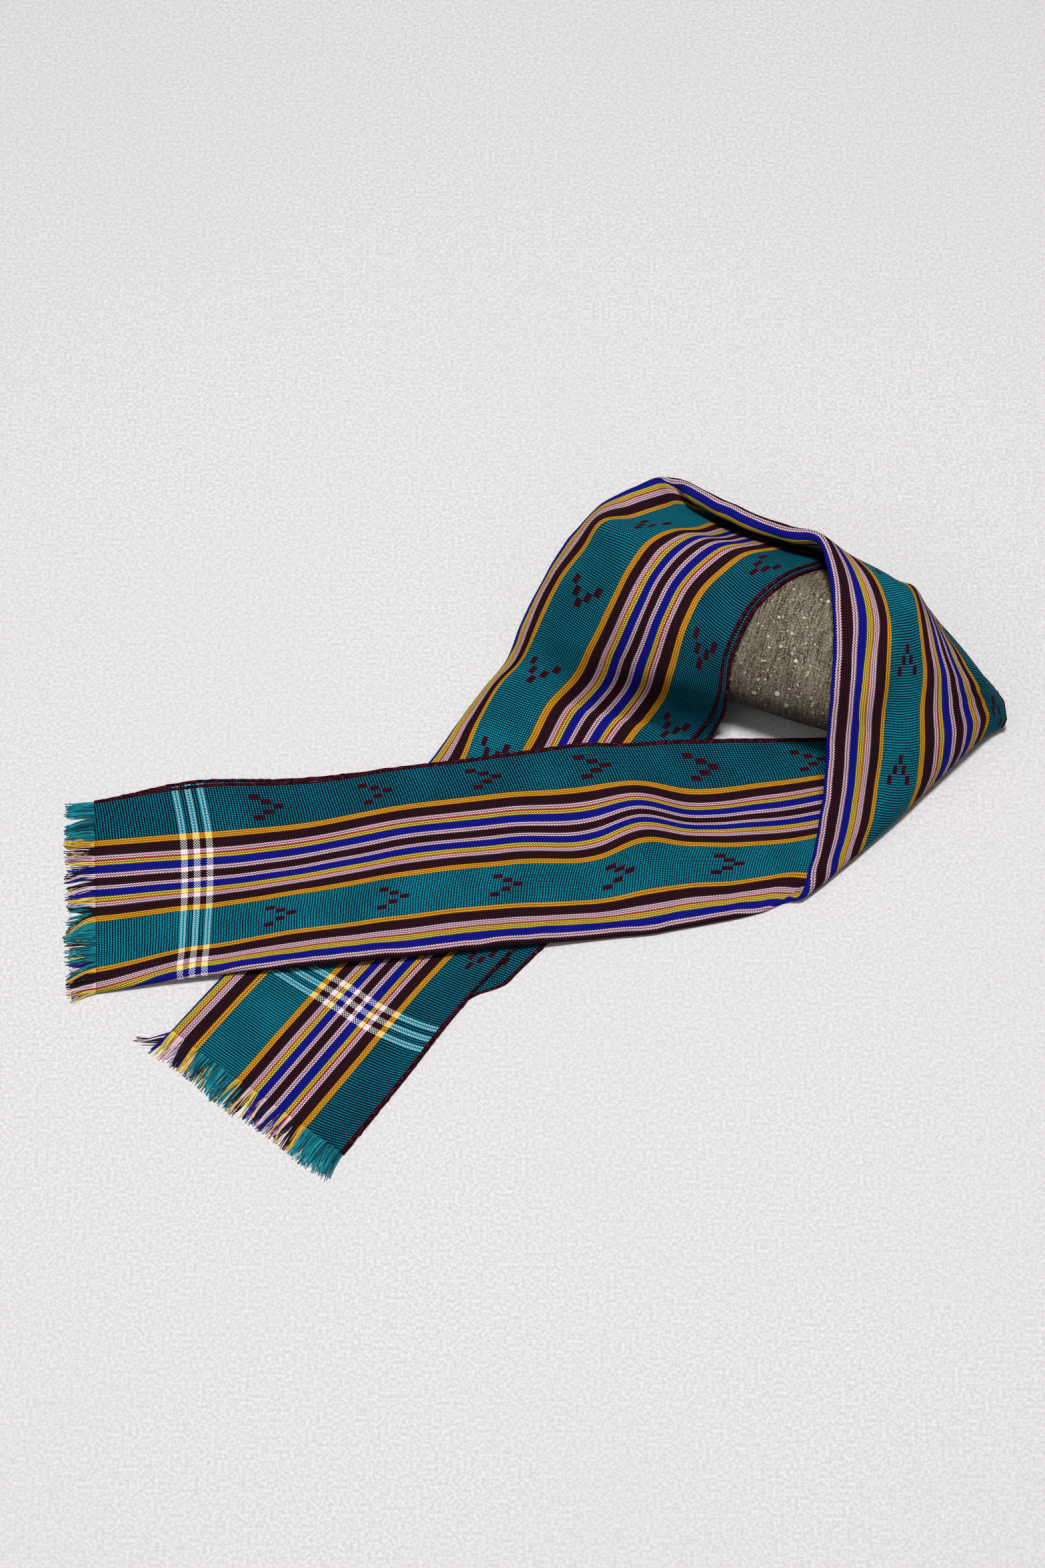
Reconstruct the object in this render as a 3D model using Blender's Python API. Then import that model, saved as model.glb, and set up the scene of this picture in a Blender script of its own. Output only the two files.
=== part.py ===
"""A handwoven striped shawl, folded in half along its length and laid in a loop over a short stone roller.

The folded band is 160 mm wide. It starts at a fringed end on the table, runs flat, climbs over the
roller, stands on edge behind it, turns over across the roller, turns under and runs back over itself
to the other fringed end. Every size in the tables is in millimetres, in the drawing's own place.
"""

import math
from collections import namedtuple

import bmesh
import bpy
from mathutils import Vector

MM = 0.001

# The middle of the whole thing in the drawing's place, which becomes the origin on the table.
MIDDLE_X, MIDDLE_Y = 6.5, -49.1

# The cloth: two layers of a folded band, joined round the fold.
LAYER_THICK = 1.2
LAYER_STEP = 1.8
FLAT = (LAYER_STEP + LAYER_THICK) / 2
BAND_WIDE = 160.0
PUFF_REACH = 20.0
ROLLER_CLEAR = 2.9
RIM_CLEAR = 2.4
RIM_EASE = 16.0
STATION_PITCH = 17.0
LEAST_STEPS = 2
FOLD_TURNS = 4

# Where the sections are drawn across the band, measured from the fold: the fold, the inner edges
# of the three yellow stripes that bound the teal fields, and the selvedge.
LINES_ACROSS = (0.0, 31.0, 68.0, 126.0, BAND_WIDE)
CUTS_ACROSS = (0.0, 8.0, 18.0, 31.0, 48.0, 68.0, 90.0, 112.0, 136.0, BAND_WIDE)

# The roller: its axis lies across the table at an angle, and a narrow flat keeps it still.
ROLLER_RADIUS = 56.0
ROLLER_FLAT = 0.8
ROLLER_LEFT = Vector((95.0, 124.5))
ROLLER_RIGHT = Vector((258.0, 65.5))
ROLLER_RIM = 3.0
ROLLER_SIDES = 56

# The fringes: a narrow strip along each end, parted from the cloth, with locks of yarn lying flat.
STRIP_GAP = 0.3
STRIP_DEEP = 2.0
FRINGE_THICK = 2.4
LOCKS = 42
LOCK_SHARE = 0.72
LOCK_TAPER = 0.35
LOCK_LENGTHS = (25, 23, 26, 22, 24, 27, 21, 25, 28, 23)
LOCK_LEANS = (1, -2, 0, 2, 3, -1, 1, 0, -2, 2, 1)

# One row for each section of the band, from the near end to the far one. Each names the points of
# its lines across. A row with only its two edges runs straight between them. puff is how far the
# fold swells, outer is 1 where the first half faces out and 0 where the second does, and peek is
# how far the second half reaches past the first at the selvedge.
Section = namedtuple("Section", "name fold first second third selvedge puff outer peek")
SECTIONS = (
    Section("near end", (-242, -198, 1.5), None, None, None, (-124, -287, 1.5), 3, 1, 1),
    Section("near run", (-209, -156, 1.5), None, None, None, (-86, -236, 1.5), 2, 1, 3),
    Section("under the far end", (-162, -103, 1.5), None, None, None, (-39, -171, 1.5), 1, 1, 10),
    Section("under, middle", (-107, -36, 1.5), None, None, None, (17, -105, 1.5), 1, 1, 14),
    Section("under, last", (-65, 16, 1.5), None, None, None, (67, -36, 1.5), 2, 1, 12),
    Section("out again", (-42, 50, 2), (-24, 51, 3), (11, 30, 2), (55, -4, 1.5), (87, -16, 1.5), 4, 1, 11),
    Section("crease", (-20, 83, 3), (-8, 82, 5), (31, 68, 3), (84, 49, 3), (122, 36, 2), 4, 1, 10),
    Section("foot of the climb", (-10, 94, 8), (3, 92, 11), (40, 73, 13), (92, 54, 19), (131, 41, 18), 4, 1, 8),
    Section("rise", (2, 114, 26), (14, 107, 32), (52, 83, 54), (102, 53, 78), (138, 40, 68), 4, 1, 6),
    Section("climb", (19, 138, 50), (28, 129, 64), (65, 97, 90), (116, 72, 107), (144, 55, 98), 4, 1, 5),
    Section("shoulder", (35, 155, 75), (46, 142, 92), (78, 114, 112), (127, 93, 112), (162, 84, 113), 4, 1, 4),
    Section("crest", (58, 173, 92), (58, 150, 112), (90, 131, 115), (144, 111, 114), (178, 100, 114.5), 4, 1, 4),
    Section("fall", (78, 188, 90), (80, 161, 102), (108, 144, 112), (159, 125, 110.5), (193, 113, 110.5), 4, 1, 4),
    Section("lip of the valley", (95, 200, 88), (104, 175, 95), (124, 150, 105), (174, 132, 105), (204, 121, 104), 3, 1, 4),
    Section("back of the roller", (101, 204, 87), (112, 183, 87), (139, 166, 86), (194, 155, 66), (224, 142, 58), 1.5, 1, 3),
    Section("valley", (109, 201, 90), (124, 185, 80), (156, 174, 60), (210, 157, 32), (240, 148, 13), 2, 0.6, 2),
    Section("first of the ridge", (126, 184, 100), (140, 183, 80), (172, 178, 54), (226, 166, 22), (254, 156, 9), 5, 0.5, 2),
    Section("ridge", (155, 162, 110), (168, 168, 90), (192, 170, 62), (240, 160, 24), (270, 148, 8), 8, 0.5, 2),
    Section("ridge, high", (188, 142, 116), (202, 148, 98), (226, 150, 76), (268, 136, 36), (298, 120, 10), 7, 0.4, 2),
    Section("upper turn", (212, 125, 124), (232, 121, 116), (270, 111, 92), (305, 96, 54), (334, 78, 19), 4, 0.2, 2),
    Section("first over", (217, 106, 125), (241, 106, 119), (275, 97, 102), (311, 74, 66), (343, 60, 25), 4, 0, 2),
    Section("over the roller", (221, 71, 121), (251, 70, 118), (280, 66, 102), (322, 55, 65), (346, 53, 26), 4, 0, 2),
    Section("off the roller", (220, 33, 103), (250, 35, 103), (282, 43, 86), (329, 47, 54), (347, 49, 24), 4, 0, 2),
    Section("down, upper", (218, 6, 70), (248, 11, 74), (281, 26, 68), (332, 45, 42), (348, 47, 20), 4, 0, 2),
    Section("down, lower", (215, -32, 38), (245, -19, 42), (281, 0, 42), (334, 38, 28), (348, 45, 17), 4, 0, 2),
    Section("down, last", (205, -74, 14), (237, -54, 18), (278, -20, 20), (331, 32, 18), (347, 43, 14), 3, 0, 2),
    Section("lower turn", (197, -93, 6.5), (229, -68, 6.5), (270, -28, 6.5), (328, 31, 7), (346, 42, 9), 2, 0.5, 2),
    Section("under the turn", (187, -95, 1.5), (217, -67, 1.5), (260, -23, 1.5), (318, 30, 1.5), (336, 40, 2), 1, 1, 2),
    Section("back, first", (170, -102, 1.5), (184, -73, 1.5), (212, -42, 1.5), (259, 14, 1.5), (282, 38, 1.5), 1, 1, 2),
    Section("back, out", (148, -107, 1.5), (156, -80, 1.5), (163, -50, 2), (188, 0, 2.5), (202, 34, 2.5), 3, 1, 2),
    Section("back, near", (108, -115, 2), (112, -84, 2.5), (116, -50, 3), (120, -8, 6), (124, 30, 8), 3, 1, 2),
    Section("back, crease", (92, -118, 2), (90, -90, 6), (86, -52, 11), (76, -7, 13), (71, 25, 11), 3, 1, 2),
    Section("back, past the crease", (66, -121, 2), (62, -95, 4), (57, -62, 7), (47, -9, 9), (44, 26, 9), 3, 1, 2),
    Section("over itself", (-11, -131, 8), None, None, None, (-12, 18, 8), 3, 1, 2),
    Section("over itself, middle", (-86, -140, 8), None, None, None, (-88, 8, 7), 3, 1, 2),
    Section("over itself, last", (-151, -147, 9), (-151, -121, 8.5), (-152, -90, 8), (-153, -36, 5), (-156, -1, 3), 3, 1, 4),
    Section("far run", (-226, -154, 7), (-226, -130, 5), (-227, -98, 3), (-230, -42, 1.5), (-232, -3, 1.5), 3, 1, 5),
    Section("far end", (-298, -164, 1.5), None, None, None, (-308, -16, 1.5), 3, 1, 1),
)


def drawn(point):
    """A point of the drawing in the part's own place, in metres."""
    return Vector(((point[0] - MIDDLE_X) * MM, (point[1] - MIDDLE_Y) * MM, point[2] * MM))


def filled(section):
    """The five points of a section, with those it leaves out set straight between its edges."""
    points = [section.fold, section.first, section.second, section.third, section.selvedge]
    ends = Vector(section.fold), Vector(section.selvedge)
    return [
        Vector(point) if point else ends[0].lerp(ends[1], across / BAND_WIDE)
        for point, across in zip(points, LINES_ACROSS)
    ]


def smooth_through(knots, points, at):
    """The smooth curve through points at the given knots, as a Hermite spline with mean slopes."""
    last = len(knots) - 1
    i = min(max(sum(knot <= at for knot in knots) - 1, 0), last - 1)

    def slope(j):
        if j == 0:
            return (points[1] - points[0]) / (knots[1] - knots[0])
        if j == last:
            return (points[-1] - points[-2]) / (knots[-1] - knots[-2])
        before, after = knots[j] - knots[j - 1], knots[j + 1] - knots[j]
        left = (points[j] - points[j - 1]) / before
        right = (points[j + 1] - points[j]) / after
        return (left * after + right * before) / (before + after)

    wide = knots[i + 1] - knots[i]
    t = (at - knots[i]) / wide
    return (
        points[i] * (2 * t**3 - 3 * t**2 + 1)
        + slope(i) * wide * (t**3 - 2 * t**2 + t)
        + points[i + 1] * (3 * t**2 - 2 * t**3)
        + slope(i + 1) * wide * (t**3 - t**2)
    )


def stations(rows):
    """Places along the band, each as a section number with its fraction, closer where rows are."""
    places = []
    for i in range(len(rows) - 1):
        gaps = [(rows[i + 1][j] - rows[i][j]).length for j in range(len(LINES_ACROSS))]
        steps = max(LEAST_STEPS, round(sum(gaps) / len(gaps) / STATION_PITCH))
        places += [i + k / steps for k in range(steps)]
    return places + [len(rows) - 1.0]


def line_knots(rows, line):
    """Running lengths of one line across the sections."""
    knots = [0.0]
    for before, after in zip(rows, rows[1:]):
        knots.append(knots[-1] + max((after[line] - before[line]).length, 1.0))
    return knots


def band_grid():
    """The middle of the band at every station and cut: a list of stations, each a list of points."""
    rows = [filled(section) for section in SECTIONS]
    knots = [line_knots(rows, line) for line in range(len(LINES_ACROSS))]
    grid = []
    places = stations(rows)
    for place in places:
        i = min(int(place), len(rows) - 2)
        lines = []
        for line, running in enumerate(knots):
            at = running[i] + (running[i + 1] - running[i]) * (place - i)
            lines.append(smooth_through(running, [row[line] for row in rows], at))
        grid.append([clear(smooth_through(LINES_ACROSS, lines, cut)) for cut in CUTS_ACROSS])
    return places, grid


def blended(place, field):
    """A named number of the sections, eased between the two that a station lies between."""
    i = min(int(place), len(SECTIONS) - 2)
    t = place - i
    t = t * t * (3 - 2 * t)
    return getattr(SECTIONS[i], field) * (1 - t) + getattr(SECTIONS[i + 1], field) * t


def clear(point):
    """The point, moved out if it is too near the roller and up if it is too near the table."""
    axis = ROLLER_RIGHT - ROLLER_LEFT
    along_way = axis.normalized()
    flat = Vector((point.x, point.y)) - ROLLER_LEFT
    along = flat.dot(along_way)
    inside = min(along, axis.length - along) / RIM_EASE
    if inside > -1:
        beyond = max(-inside, 0)
        hold = 1 - beyond**2 * (3 - 2 * beyond)
        least = ROLLER_RADIUS + ROLLER_CLEAR + RIM_CLEAR * min(max(1 - inside, 0), 1)
        side = flat.dot(Vector((-along_way.y, along_way.x)))
        height = point.z - ROLLER_RADIUS + ROLLER_FLAT
        shift = max(least / math.hypot(side, height) - 1, 0) * hold
        point = point + Vector((-along_way.y * side, along_way.x * side, height)) * shift
    return Vector((point.x, point.y, max(point.z, FLAT)))


def facing(grid, i, j):
    """The way that the first half faces, and the way across the band, at one point of the grid."""
    before, after = grid[max(i - 1, 0)][j], grid[min(i + 1, len(grid) - 1)][j]
    inner, outer = grid[i][max(j - 1, 0)], grid[i][min(j + 1, len(CUTS_ACROSS) - 1)]
    across = (outer - inner).normalized()
    return across.cross(after - before).normalized(), across


def ring_of(grid, place, i):
    """One section of the folded cloth, from the first half's selvedge round the fold to the second's."""
    puff, outer, peek = (blended(place, field) for field in ("puff", "outer", "peek"))
    first, second = [], []
    for j, cut in enumerate(CUTS_ACROSS):
        normal, across = facing(grid, i, j)
        swell = puff * math.exp(-((cut / PUFF_REACH) ** 2))
        out = across * peek * (cut / BAND_WIDE) ** 6
        first.append(grid[i][j] + normal * (LAYER_STEP / 2 + swell * outer))
        second.append(grid[i][j] - normal * (LAYER_STEP / 2 + swell * (1 - outer)) + out)
    normal, across = facing(grid, i, 0)
    centre = (first[0] + second[0]) / 2
    radius = (first[0] - second[0]).length / 2
    turn = []
    for k in range(1, FOLD_TURNS):
        angle = math.pi * k / FOLD_TURNS
        turn.append(centre + normal * radius * math.cos(angle) - across * radius * math.sin(angle))
    return first[::-1] + turn + second


def finish(name, colour, roughness):
    material = bpy.data.materials.new(name)
    material.use_nodes = True
    shader = material.node_tree.nodes["Principled BSDF"]
    shader.inputs["Base Color"].default_value = (*colour, 1)
    shader.inputs["Roughness"].default_value = roughness
    shader.inputs["Metallic"].default_value = 0
    return material


def placed(name, shape, material):
    """A named object from a finished bmesh."""
    mesh = bpy.data.meshes.new(name)
    shape.to_mesh(mesh)
    shape.free()
    mesh.materials.append(material)
    made = bpy.data.objects.new(name, mesh)
    bpy.context.scene.collection.objects.link(made)
    return made


def thickened(made, thick, offset):
    wall = made.modifiers.new("Thickness", "SOLIDIFY")
    wall.thickness = thick * MM
    wall.offset = offset


def make_shawl(material):
    places, grid = band_grid()
    rings = [ring_of(grid, place, i) for i, place in enumerate(places)]
    across, along = len(rings[0]), len(rings)
    shape = bmesh.new()
    bmesh.ops.create_grid(shape, x_segments=across - 1, y_segments=along - 1, size=1)
    for k, vert in enumerate(shape.verts):
        vert.co = drawn(rings[k // across][k % across])
    thickened(placed("shawl", shape, material), LAYER_THICK, 0)


def make_fringe(name, fold, selvedge, material):
    """A comb of locks that lies level on the table, with its roots in one narrow strip."""
    fold, selvedge = Vector(fold[:2]), Vector(selvedge[:2])
    along = (selvedge - fold).normalized()
    away = Vector((along.y, -along.x))
    if away.x > 0:
        away = -away
    pitch = (selvedge - fold).length / LOCKS
    root = fold + away * STRIP_GAP
    shape = bmesh.new()

    def vert(at):
        return shape.verts.new(drawn((at.x, at.y, FRINGE_THICK)))

    def row(distance):
        """Both sides of each lock and of the space beside it, at a distance from the cloth."""
        cuts = []
        for k in range(LOCKS):
            start = root + along * pitch * k + away * distance
            cuts += [start + along * pitch * (1 - LOCK_SHARE) / 2, start + along * pitch * (1 + LOCK_SHARE) / 2]
        return cuts

    near = [vert(at) for at in row(0)]
    far = [vert(at) for at in row(STRIP_DEEP)]
    for k in range(len(near) - 1):
        shape.faces.new((near[k], near[k + 1], far[k + 1], far[k]))
    for k in range(LOCKS):
        left, right = far[2 * k], far[2 * k + 1]
        foot = (row(STRIP_DEEP)[2 * k] + row(STRIP_DEEP)[2 * k + 1]) / 2
        length = LOCK_LENGTHS[k % len(LOCK_LENGTHS)]
        lean = LOCK_LEANS[k % len(LOCK_LEANS)]
        for part, taper in ((0.5, 0.8), (1.0, LOCK_TAPER)):
            middle = foot + away * length * part + along * lean * part**2
            half = along * pitch * LOCK_SHARE / 2 * taper
            ends = vert(middle - half), vert(middle + half)
            shape.faces.new((left, right, ends[1], ends[0]))
            left, right = ends
    bmesh.ops.recalc_face_normals(shape, faces=shape.faces)
    if shape.faces[:][0].normal.z < 0:
        bmesh.ops.reverse_faces(shape, faces=shape.faces)
    thickened(placed(name, shape, material), FRINGE_THICK, -1)


def make_roller(material):
    """A turned stone drum with softened rims, lying on a narrow flat."""
    axis = ROLLER_RIGHT - ROLLER_LEFT
    shape = bmesh.new()
    bmesh.ops.create_cone(
        shape,
        cap_ends=True,
        segments=ROLLER_SIDES,
        radius1=ROLLER_RADIUS * MM,
        radius2=ROLLER_RADIUS * MM,
        depth=axis.length * MM,
    )
    rims = [edge for edge in shape.edges if abs(edge.verts[0].co.z - edge.verts[1].co.z) < MM]
    bmesh.ops.bevel(
        shape, geom=rims, offset=ROLLER_RIM * MM, segments=2, profile=0.5, affect="EDGES", material=-1
    )
    for vert in shape.verts:
        x, y, z = vert.co
        vert.co = (z, y, x)
    bmesh.ops.recalc_face_normals(shape, faces=shape.faces)
    cut = bmesh.ops.bisect_plane(
        shape,
        geom=shape.verts[:] + shape.edges[:] + shape.faces[:],
        plane_co=(0, 0, (ROLLER_FLAT - ROLLER_RADIUS) * MM),
        plane_no=(0, 0, -1),
        clear_outer=True,
    )
    edges = [item for item in cut["geom_cut"] if isinstance(item, bmesh.types.BMEdge)]
    bmesh.ops.contextual_create(shape, geom=edges)
    made = placed("stone_roller", shape, material)
    middle = (ROLLER_LEFT + ROLLER_RIGHT) / 2
    made.location = drawn((middle.x, middle.y, ROLLER_RADIUS - ROLLER_FLAT))
    made.rotation_euler.z = math.atan2(axis.y, axis.x)
    made.data.shade_smooth()
    made.data.set_sharp_from_angle(angle=math.radians(30))


def main():
    for made in list(bpy.data.objects):
        bpy.data.objects.remove(made)
    make_shawl(finish("woven cotton", (0.02, 0.20, 0.24), 0.85))
    yarn = finish("yarn ends", (0.03, 0.24, 0.28), 0.9)
    make_fringe("fringe_near", SECTIONS[0].fold, SECTIONS[0].selvedge, yarn)
    make_fringe("fringe_far", SECTIONS[-1].fold, SECTIONS[-1].selvedge, yarn)
    make_roller(finish("dark speckled stone", (0.10, 0.09, 0.08), 0.9))


main()
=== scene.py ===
"""The looks of a handwoven striped shawl, folded along its length and laid in a loop over a stone roller.

Lengths in the tables are in millimetres. The shader works in millimetres too: the cloth's own UV map
holds the length along the cloth and the distance across it from the first half's selvedge.
"""

import math
import random
from collections import namedtuple
from functools import reduce

import bmesh
import bpy
import numpy as np
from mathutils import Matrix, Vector, noise


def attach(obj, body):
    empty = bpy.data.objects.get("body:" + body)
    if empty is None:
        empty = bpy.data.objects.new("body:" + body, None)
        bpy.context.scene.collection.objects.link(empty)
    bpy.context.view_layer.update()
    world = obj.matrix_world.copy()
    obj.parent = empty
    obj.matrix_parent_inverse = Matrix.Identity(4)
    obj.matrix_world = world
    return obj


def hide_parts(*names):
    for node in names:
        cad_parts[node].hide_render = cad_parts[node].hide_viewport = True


MM = 0.001
PER_METRE = 1000.0

# The tables' own place for the frame's origin, which is under the middle of the whole thing.
MIDDLE = np.array((6.5, -49.1, 0.0))

# The cloth: two layers of a folded band, joined round the fold.
CLOTH_THICK = 1.0
LAYER_STEP = 1.8
FLAT = 1.5
BAND_WIDE = 160.0
PUFF_REACH = 20.0
PEEK_POWER = 6
LEAN_FROM, LEAN_MOST = 60.0, 118.0
# How far from the fold the yarns slide with it, at these sections and between them.
SLIDE_TURNS, SLIDE_REACH = (8, 10, 16, 19, 36, 38), (75.0, 26.0, 26.0, 60.0, 60.0, 85.0)
# Wrinkles: their height and two scales, the fine ones' share and reach, and the flat stations at an end.
WRINKLE_HIGH, WRINKLE_BROAD, WRINKLE_FINE = 1.5, 0.028, 0.075
FINE_SHARE, FINE_REACH, WRINKLE_EASE = 0.5, 30.0, 30
ROLLER_CLEAR = 2.9
RIM_CLEAR = 2.4
RIM_EASE = 16.0
STATION_PITCH = 2.9
LEAST_STEPS = 4
LAYER_CUTS = 42
# How much closer together the cuts are near both edges, and near the fold.
CLOSER_BOTH, CLOSER_FOLD = 0.045, 0.03
FOLD_TURNS = 8
LINES_ACROSS = (0.0, 31.0, 68.0, 126.0, BAND_WIDE)

# The roller.
ROLLER_RADIUS = 56.0
ROLLER_FLAT = 0.8
ROLLER_LEFT = np.array((95.0, 124.5))
ROLLER_RIGHT = np.array((258.0, 65.5))
RIM_CHAMFER = ((0.0, 3.4), (1.0, 1.0), (3.2, 0.0))
ROLLER_RINGS, ROLLER_STEP, ROLLER_SPOKES = (0.0, 20.0, 40.0), 1.6, 200

# One row for each section of the band, from the near end to the far one. points are those of the
# five lines across it, from the fold to the selvedge; a row with two runs straight between its edges.
# puff is how far the fold swells, outer is 1 where the first half faces out and 0 where the second
# does, peek is how far the second half reaches past the first at the selvedge, shift is how far the
# yarns slide round the fold, and lean is how far those of the side group slide to the selvedge.
Section = namedtuple("Section", "name points puff outer peek shift lean", defaults=(4, 1, 2, 0, 0))
SECTIONS = (
    Section("near end", ((-242, -198, 1.5), (-124, -287, 1.5)), puff=3, peek=1, shift=-9.5),
    Section("near run", ((-209, -156, 1.5), (-86, -236, 1.5)), puff=2, peek=0.5, shift=-9.5),
    Section("under the far end", ((-162, -103, 1.5), (-39, -171, 1.5)), puff=1, peek=0.5, shift=-9.5),
    Section("under, widest", ((-145, -83, 1.5), (-22, -151, 1.5)), puff=1, peek=13, shift=-9.5),
    Section("under, middle", ((-107, -36, 1.5), (17, -105, 1.5)), puff=1, peek=15, shift=-9.5),
    Section("under, last", ((-65, 16, 1.5), (67, -36, 1.5)), puff=2, peek=13, shift=-9.5),
    Section("out again", peek=11, shift=-9.5, points=(
        (-42, 50, 2), (-24, 51, 3), (11, 30, 2), (55, -4, 1.5), (87, -16, 1.5))),
    Section("crease", peek=10, shift=-9.5, points=(
        (-20, 83, 3), (-8, 82, 5), (31, 68, 3), (90, 49, 3), (124, 36, 2))),
    Section("foot of the climb", peek=8, shift=-9.5, points=(
        (-10, 94, 8), (3, 92, 11), (40, 73, 13), (98, 53, 19), (133, 41, 18))),
    Section("rise", peek=6, shift=-7, points=(
        (2, 114, 26), (14, 107, 32), (52, 83, 54), (107, 52, 77), (140, 40, 67))),
    Section("climb", peek=5, shift=-4, points=(
        (19, 138, 50), (28, 129, 64), (65, 97, 90), (116, 72, 107), (144, 55, 98))),
    Section("shoulder", peek=4, shift=-4, points=(
        (35, 155, 75), (46, 142, 92), (78, 114, 112), (127, 93, 112), (162, 84, 113))),
    Section("crest", peek=4, shift=-4, points=(
        (58, 173, 92), (58, 150, 112), (90, 131, 115), (144, 111, 114), (178, 100, 114.5))),
    Section("fall", peek=4, shift=-4, points=(
        (78, 188, 90), (80, 161, 102), (108, 144, 112), (159, 125, 110.5), (193, 113, 110.5))),
    Section("lip of the valley", puff=3, peek=4, shift=-4, points=(
        (95, 200, 88), (104, 175, 95), (124, 150, 105), (174, 132, 105), (204, 121, 104))),
    Section("back of the roller", puff=1.5, peek=3, shift=-4, points=(
        (101, 204, 87), (112, 183, 87), (139, 166, 86), (194, 155, 66), (224, 142, 58))),
    Section("valley", puff=3, outer=0.6, shift=-3, points=(
        (109, 201, 90), (124, 185, 80), (156, 174, 60), (210, 157, 32), (240, 148, 13))),
    Section("first of the ridge", puff=9, outer=0.7, shift=-8, points=(
        (126, 184, 100), (139, 179, 82), (172, 176, 54), (226, 166, 22), (254, 156, 9))),
    Section("ridge", puff=10, outer=0.75, shift=-8, points=(
        (155, 162, 110), (167, 162, 92), (192, 167, 62), (240, 160, 24), (270, 148, 8))),
    Section("ridge, high", puff=9, outer=0.7, shift=-7, lean=5, points=(
        (188, 142, 116), (201, 142, 100), (226, 147, 76), (268, 136, 36), (298, 120, 10))),
    Section("upper turn", outer=0.2, shift=-8, lean=12, points=(
        (212, 125, 124), (232, 121, 116), (270, 111, 92), (305, 96, 54), (334, 78, 19))),
    Section("first over", outer=0, shift=-10, lean=17, points=(
        (217, 106, 125), (241, 106, 119), (275, 97, 102), (311, 74, 66), (343, 60, 25))),
    Section("over the roller", outer=0, shift=-10, lean=15, points=(
        (221, 71, 121), (251, 70, 118), (280, 66, 102), (322, 55, 65), (346, 53, 26))),
    Section("off the roller", outer=0, shift=-10, lean=8, points=(
        (220, 33, 103), (250, 35, 103), (282, 43, 86), (329, 47, 54), (347, 49, 24))),
    Section("down, upper", outer=0, shift=-10, lean=4, points=(
        (218, 6, 70), (248, 11, 74), (281, 26, 68), (332, 45, 42), (348, 47, 20))),
    Section("down, lower", outer=0, shift=-10, points=(
        (215, -32, 38), (245, -19, 42), (281, 0, 42), (334, 38, 28), (348, 45, 17))),
    Section("down, last", puff=3, outer=0, shift=-10, points=(
        (205, -74, 14), (237, -54, 18), (278, -20, 20), (331, 32, 18), (347, 43, 14))),
    Section("lower turn", puff=2, outer=0.5, shift=-12, points=(
        (197, -93, 6.5), (229, -68, 6.5), (270, -28, 6.5), (328, 31, 7), (346, 42, 9))),
    Section("under the turn", puff=1, shift=-9, points=(
        (187, -95, 1.5), (217, -67, 1.5), (260, -23, 1.5), (318, 30, 1.5), (336, 40, 2))),
    Section("back, first", puff=1, shift=-3, points=(
        (170, -102, 1.5), (184, -73, 1.5), (212, -42, 1.5), (259, 14, 1.5), (282, 38, 1.5))),
    Section("back, out", puff=3, points=(
        (148, -107, 1.5), (156, -80, 1.5), (163, -50, 2), (188, 0, 2.5), (202, 34, 2.5))),
    Section("back, near", puff=3, points=(
        (108, -115, 2), (112, -84, 2), (116, -50, 2.5), (120, -8, 4.5), (124, 30, 7))),
    Section("back, crease", puff=3, points=(
        (92, -118, 2), (91, -90, 7.5), (87, -52, 13), (78, -7, 15), (73, 25, 12))),
    Section("back, past the crease", puff=3, points=(
        (66, -121, 2), (62, -95, 4), (57, -62, 7), (47, -9, 9), (44, 26, 9))),
    Section("over itself", ((-11, -131, 8), (-12, 18, 8)), puff=3),
    Section("over itself, middle", ((-86, -140, 8), (-88, 8, 7)), puff=3),
    Section("over itself, last", puff=3, peek=4, points=(
        (-151, -147, 9), (-151, -121, 8.5), (-152, -90, 8), (-153, -36, 5), (-156, -1, 3))),
    Section("far run", puff=3, peek=5, shift=-5, points=(
        (-226, -154, 7), (-226, -130, 5), (-227, -98, 3), (-230, -42, 1.5), (-232, -3, 1.5))),
    Section("far end", ((-298, -164, 1.5), (-308, -16, 1.5)), puff=3, peek=1, shift=-14),
)

# The warp stripes, from the first half's selvedge: each side group, and the group at the fold.
# Widths are as counted, and all are drawn in by the same share to make up the folded width.
SELVEDGE_WIDE, OUTER_FIELD, INNER_FIELD = 1.5, 33.0, 35.0
SIDE_GROUP = (
    ("yellow", 4.8), ("black", 8.0), ("pink", 3.8), ("red", 1.0), ("lemon", 3.5), ("blue", 6.4),
    ("pink", 4.0), ("black", 6.0), ("pink", 3.3), ("blue", 5.5), ("lemon", 3.6), ("orange", 0.9),
    ("pink", 3.4), ("black", 6.9), ("yellow", 4.6),
)
FOLD_GROUP = (
    ("yellow", 4.0), ("black", 7.5), ("pink", 4.5), ("red", 0.8), ("lemon", 4.5), ("blue", 5.8),
    ("pink", 3.8), ("black", 7.0), ("pink", 3.8), ("blue", 5.8), ("lemon", 4.5), ("orange", 0.8),
    ("pink", 4.5), ("black", 7.5), ("yellow", 4.0),
)
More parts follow.
